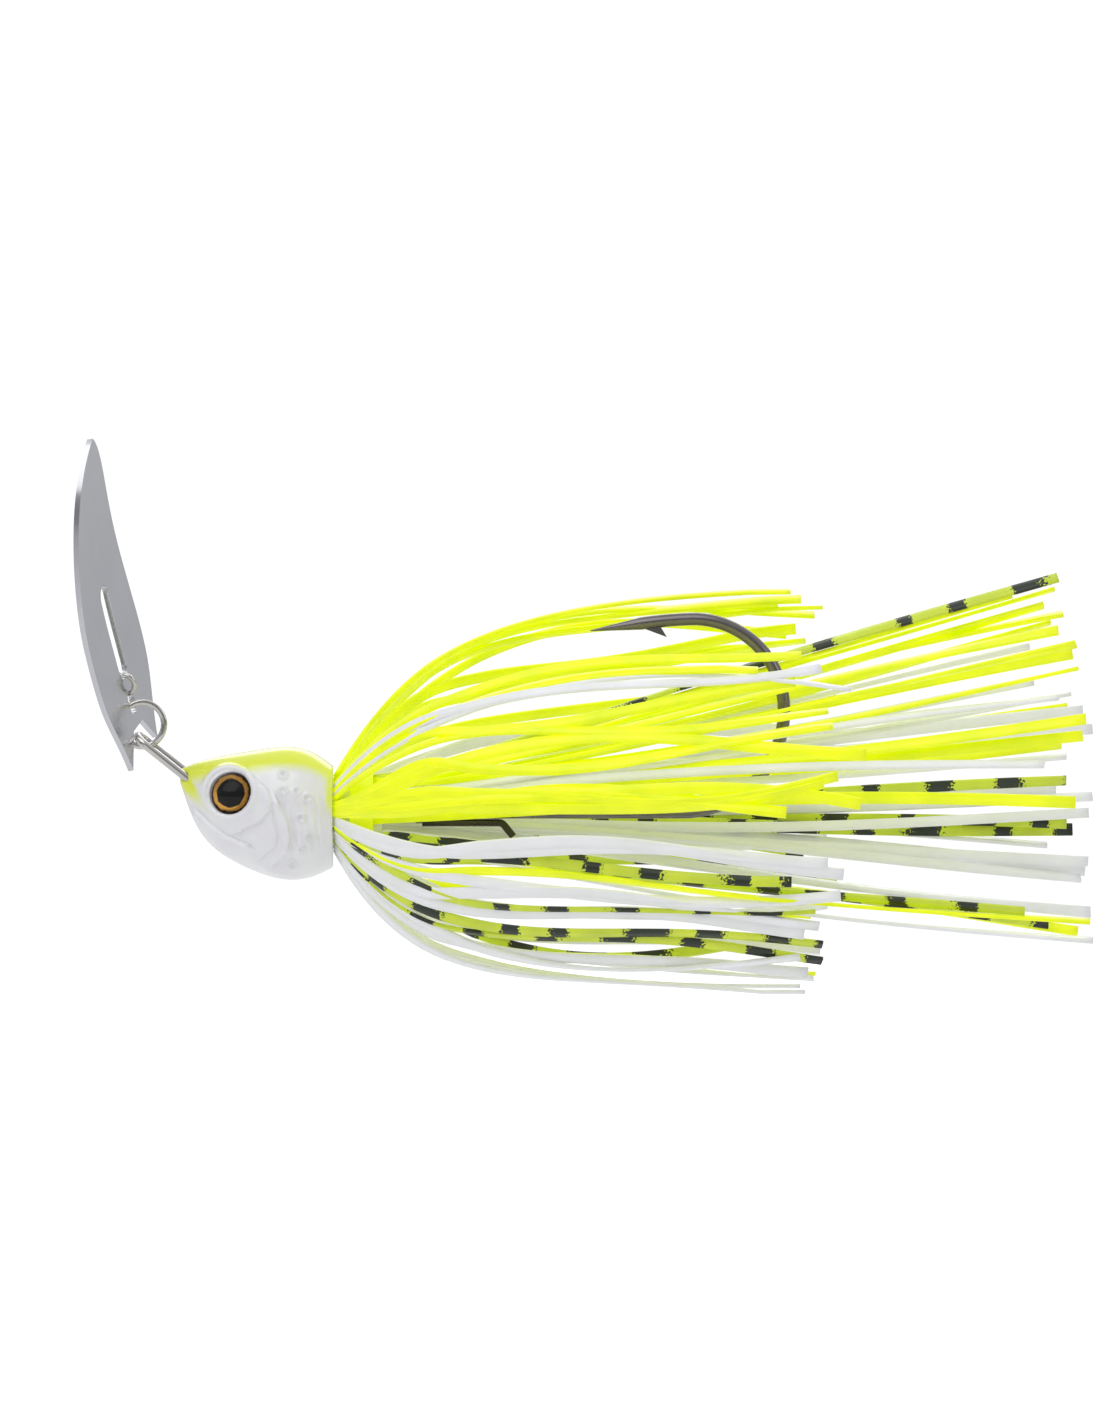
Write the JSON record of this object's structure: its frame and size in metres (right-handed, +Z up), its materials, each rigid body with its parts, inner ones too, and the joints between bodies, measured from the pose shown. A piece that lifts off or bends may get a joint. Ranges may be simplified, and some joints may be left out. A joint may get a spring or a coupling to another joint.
{
  "type": "bladed swim jig",
  "caption": "Bladed swim jig: painted fish-shaped head cast on a single up-turned hook, bowed steel blade on a split ring, line snap and silicone skirt.",
  "frame": {"origin": "on the axis of the hook shank, at the flat rear face of the painted head", "axes": "+X back along the shank towards the hook bend and the skirt's ends, +Y towards the lure's right side, +Z up towards the hook point's side and the blade's tip"},
  "size_m": [0.1111, 0.0426, 0.0617],
  "materials": {
    "dark_wire": "dark spring wire",
    "polished_blade": "polished stainless sheet",
    "eye_dome": "clear resin",
    "eye_foil": "gold foil",
    "black_nickel": "black nickel plated forged wire",
    "head_paint": "pearl white with a chartreuse back, glossy clear coat",
    "bright_nickel": "bright nickel wire",
    "eye_pupil": "black gloss",
    "silicone_barred": "olive chartreuse silicone with black bars",
    "silicone_chartreuse": "fluorescent silicone",
    "collar_silicone": "soft silicone",
    "silicone_white": "pearl white silicone"
  },
  "bodies": {
    "jig": {"bait_keeper": "dark_wire", "eye_dome_left": "eye_dome", "eye_dome_right": "eye_dome", "eye_foil_left": "eye_foil", "eye_foil_right": "eye_foil", "hook": "black_nickel", "jig_head": "head_paint", "nose_loop": "bright_nickel", "pupil_left": "eye_pupil", "pupil_right": "eye_pupil", "skirt_barred_left": "silicone_barred", "skirt_barred_right": "silicone_barred", "skirt_chartreuse_left": "silicone_chartreuse", "skirt_chartreuse_right": "silicone_chartreuse", "skirt_collar": "collar_silicone", "skirt_white_left": "silicone_white", "skirt_white_right": "silicone_white"},
    "ring": {"split_ring": "bright_nickel"},
    "blade_body": {"blade": "polished_blade"},
    "snap": {"line_snap": "bright_nickel"}
  },
  "joints": [
    {"name": "ring_swing", "type": "hinge", "parent": "jig", "child": "ring", "pos_m": [-0.02122, 0, 0.00827], "axis": [0, 1, 0], "range_deg": [-70, 12]},
    {"name": "blade_rock", "type": "hinge", "parent": "ring", "child": "blade_body", "pos_m": [-0.02202, 0, 0.01151], "axis": [0.8387, 0, 0.5446], "range_deg": [-33, 0]},
    {"name": "snap_swing", "type": "hinge", "parent": "blade_body", "child": "snap", "pos_m": [-0.02264, -0.00073, 0.01387], "axis": [0.227, 0.9119, 0.342], "range_deg": [-75, 0]}
  ]
}
